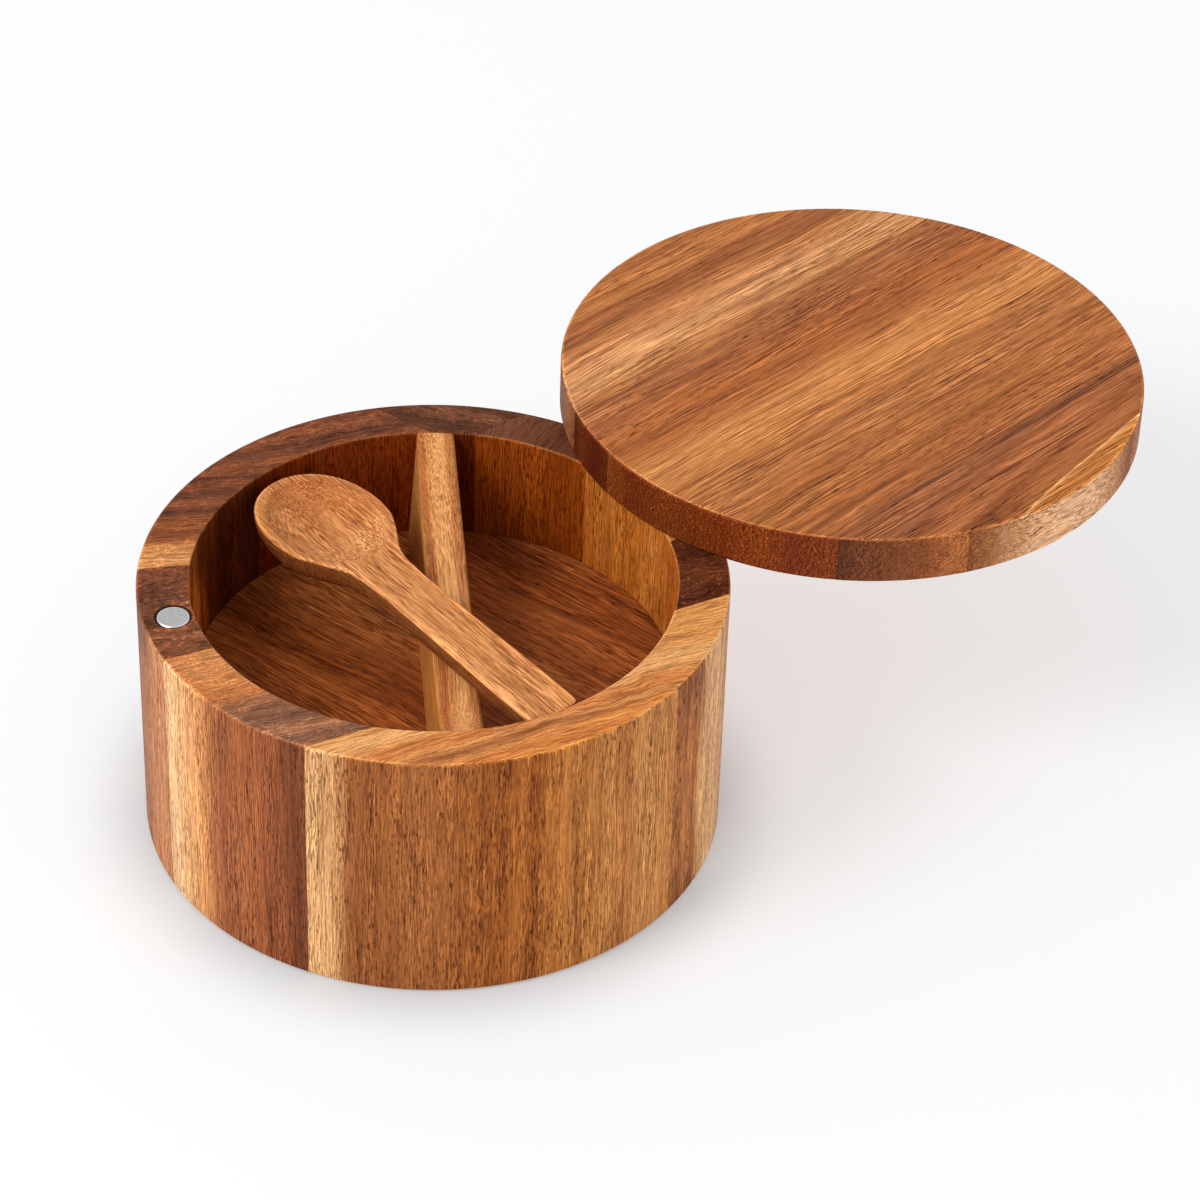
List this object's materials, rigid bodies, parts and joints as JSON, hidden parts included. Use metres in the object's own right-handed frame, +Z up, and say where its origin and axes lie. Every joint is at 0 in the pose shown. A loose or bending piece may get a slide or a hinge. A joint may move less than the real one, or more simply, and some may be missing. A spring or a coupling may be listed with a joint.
{
  "type": "double salt cellar",
  "caption": "Round glued-up wooden salt cellar: half-round compartments either side of a divider, a lid that swivels on a vertical pin and a magnet catch, with a wooden spoon.",
  "frame": {"origin": "centre of the bowl's underside, on the surface that it stands on", "axes": "+Z up along the bowl's axis; -Y is the front, which faces the camera in the picture; the lid at rest is swung out towards +X +Y"},
  "size_m": [0.242, 0.2165, 0.0816],
  "materials": {
    "wood_magnet": "dark reddish brown acacia, oiled satin",
    "wood_front_left": "sapwood cream running into reddish brown, oiled satin",
    "wood_front": "pale cream running into golden brown, oiled satin",
    "wood_strip": "golden brown, oiled satin",
    "wood_right": "dark chocolate, oiled satin",
    "wood_pivot": "golden brown, oiled satin",
    "wood_back_right": "orange brown, oiled satin",
    "wood_back": "dark brown, oiled satin",
    "wood_back_left": "reddish brown, oiled satin",
    "wood_left": "streaked orange brown, oiled satin",
    "wood_floor": "dark reddish brown, long grain, oiled satin",
    "wood_base": "medium brown, oiled satin",
    "wood_divider": "golden cream, oiled satin",
    "wood_lid_strip": "golden brown, oiled satin",
    "wood_lid_a": "reddish brown with dark streaks, oiled satin",
    "wood_lid_b": "reddish brown, oiled satin",
    "wood_lid_c": "golden orange, oiled satin",
    "wood_lid_d": "mid brown with dark pore lines, oiled satin",
    "wood_lid_e": "tan to golden brown with dark streaks, oiled satin",
    "wood_spoon": "golden brown acacia, oiled satin",
    "pin_steel": "ground steel dowel",
    "magnet_nickel": "satin nickel plate"
  },
  "bodies": {
    "bowl": {"stave_magnet": "wood_magnet", "stave_front_left": "wood_front_left", "stave_front": "wood_front", "stave_front_strip": "wood_strip", "stave_right": "wood_right", "stave_pivot": "wood_pivot", "stave_back_right": "wood_back_right", "stave_back": "wood_back", "stave_back_left": "wood_back_left", "stave_left": "wood_left", "floor_panel": "wood_floor", "base_core": "wood_base", "base_disc": "wood_base", "divider": "wood_divider", "magnet_body": "magnet_nickel", "pivot_pin": "pin_steel"},
    "lid": {"lid_strip": "wood_lid_strip", "lid_board_a": "wood_lid_a", "lid_board_b": "wood_lid_b", "lid_board_c": "wood_lid_c", "lid_board_d": "wood_lid_d", "lid_board_e": "wood_lid_e", "magnet_lid": "magnet_nickel"},
    "spoon": {"spoon": "wood_spoon"}
  },
  "joints": [
    {"name": "lid_swivel", "type": "hinge", "parent": "bowl", "child": "lid", "pos_m": [0.0499, 0.03715, 0.06905], "axis": [0, 0, 1], "continuous": true},
    {"name": "spoon_lift", "type": "slide", "parent": "bowl", "child": "spoon", "axis": [0, 0, 1], "range_m": [0, 0.09]}
  ]
}
